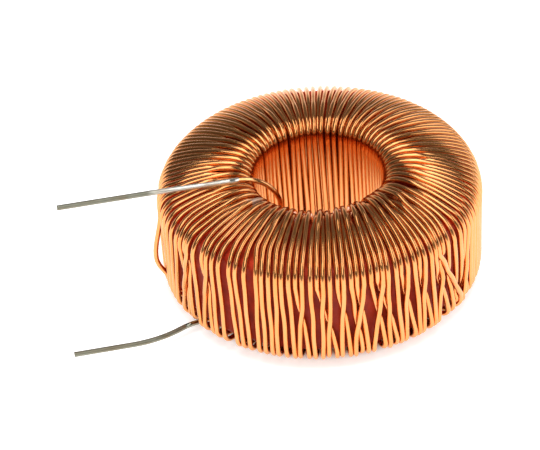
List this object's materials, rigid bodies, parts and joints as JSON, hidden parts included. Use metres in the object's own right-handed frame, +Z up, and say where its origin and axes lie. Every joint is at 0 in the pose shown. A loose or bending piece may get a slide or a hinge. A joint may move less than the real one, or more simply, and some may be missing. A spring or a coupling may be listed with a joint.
{
  "type": "toroidal inductor",
  "caption": "Ring core in a red coat, wound all round with enamelled copper wire; two straight tinned leads point to one side.",
  "frame": {"origin": "centre of the ring, on the surface that the ring rests on", "axes": "+Z up along the ring's axis; both leads point towards -X"},
  "size_m": [0.0449, 0.035, 0.0148],
  "materials": {
    "powder": "pressed iron powder, matt",
    "red_epoxy": "glossy dipped epoxy",
    "copper_enamel": "drawn copper under clear enamel",
    "tinned": "solder-tinned copper, slightly uneven"
  },
  "bodies": {
    "root": {"core": "powder", "core_coat": "red_epoxy", "winding": "copper_enamel", "start_lead": "tinned", "finish_lead": "tinned"}
  },
  "joints": []
}
